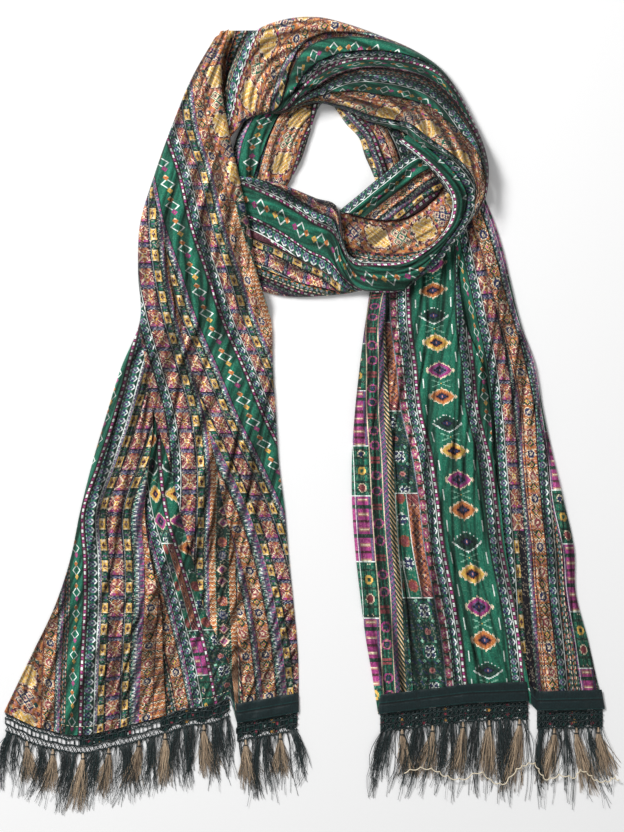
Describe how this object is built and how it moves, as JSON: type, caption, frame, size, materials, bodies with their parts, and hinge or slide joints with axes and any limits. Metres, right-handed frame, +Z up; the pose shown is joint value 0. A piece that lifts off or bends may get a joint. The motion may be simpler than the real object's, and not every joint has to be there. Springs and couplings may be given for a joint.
{
  "type": "dupatta",
  "caption": "Long printed shawl-scarf laid flat, wound once into a neck loop, with two pleated tails that end in braid, net and tassel fringe.",
  "frame": {"origin": "centre of the bounding box's underside, on the surface that the cloth lies on", "axes": "+X to the right and +Y towards the neck loop as seen from above, +Z up from the surface"},
  "size_m": [0.6148, 0.7954, 0.0332],
  "materials": {
    "printed_cloth": "soft matte cotton blend with a slight sheen, multicoloured woven-look print",
    "teal_braid": "ribbed satin braid",
    "teal_net": "knotted net and silky thread locks",
    "gold_thread": "silky thread"
  },
  "bodies": {
    "root": {"back_wrap": "printed_cloth", "right_tail": "printed_cloth", "turn_fold": "printed_cloth", "inner_turn": "printed_cloth", "front_wrap": "printed_cloth", "crown": "printed_cloth", "left_tail": "printed_cloth", "hem_braid_left": "teal_braid", "hem_braid_right_inner": "teal_braid", "hem_braid_right_outer": "teal_braid", "net_left_outer": "teal_net", "net_left_inner": "teal_net", "net_right_inner": "teal_net", "net_right_outer": "teal_net", "gold_tassel_1": "gold_thread", "gold_tassel_2": "gold_thread", "gold_tassel_3": "gold_thread", "gold_tassel_4": "gold_thread", "gold_tassel_5": "gold_thread", "gold_tassel_6": "gold_thread", "gold_tassel_7": "gold_thread", "gold_tassel_8": "gold_thread", "gold_tassel_9": "gold_thread", "gold_tassel_10": "gold_thread", "gold_tassel_11": "gold_thread", "gold_tassel_12": "gold_thread", "gold_tassel_13": "gold_thread", "gold_tassel_14": "gold_thread", "gold_tassel_15": "gold_thread", "gold_tassel_16": "gold_thread", "gold_tassel_17": "gold_thread"}
  },
  "joints": []
}
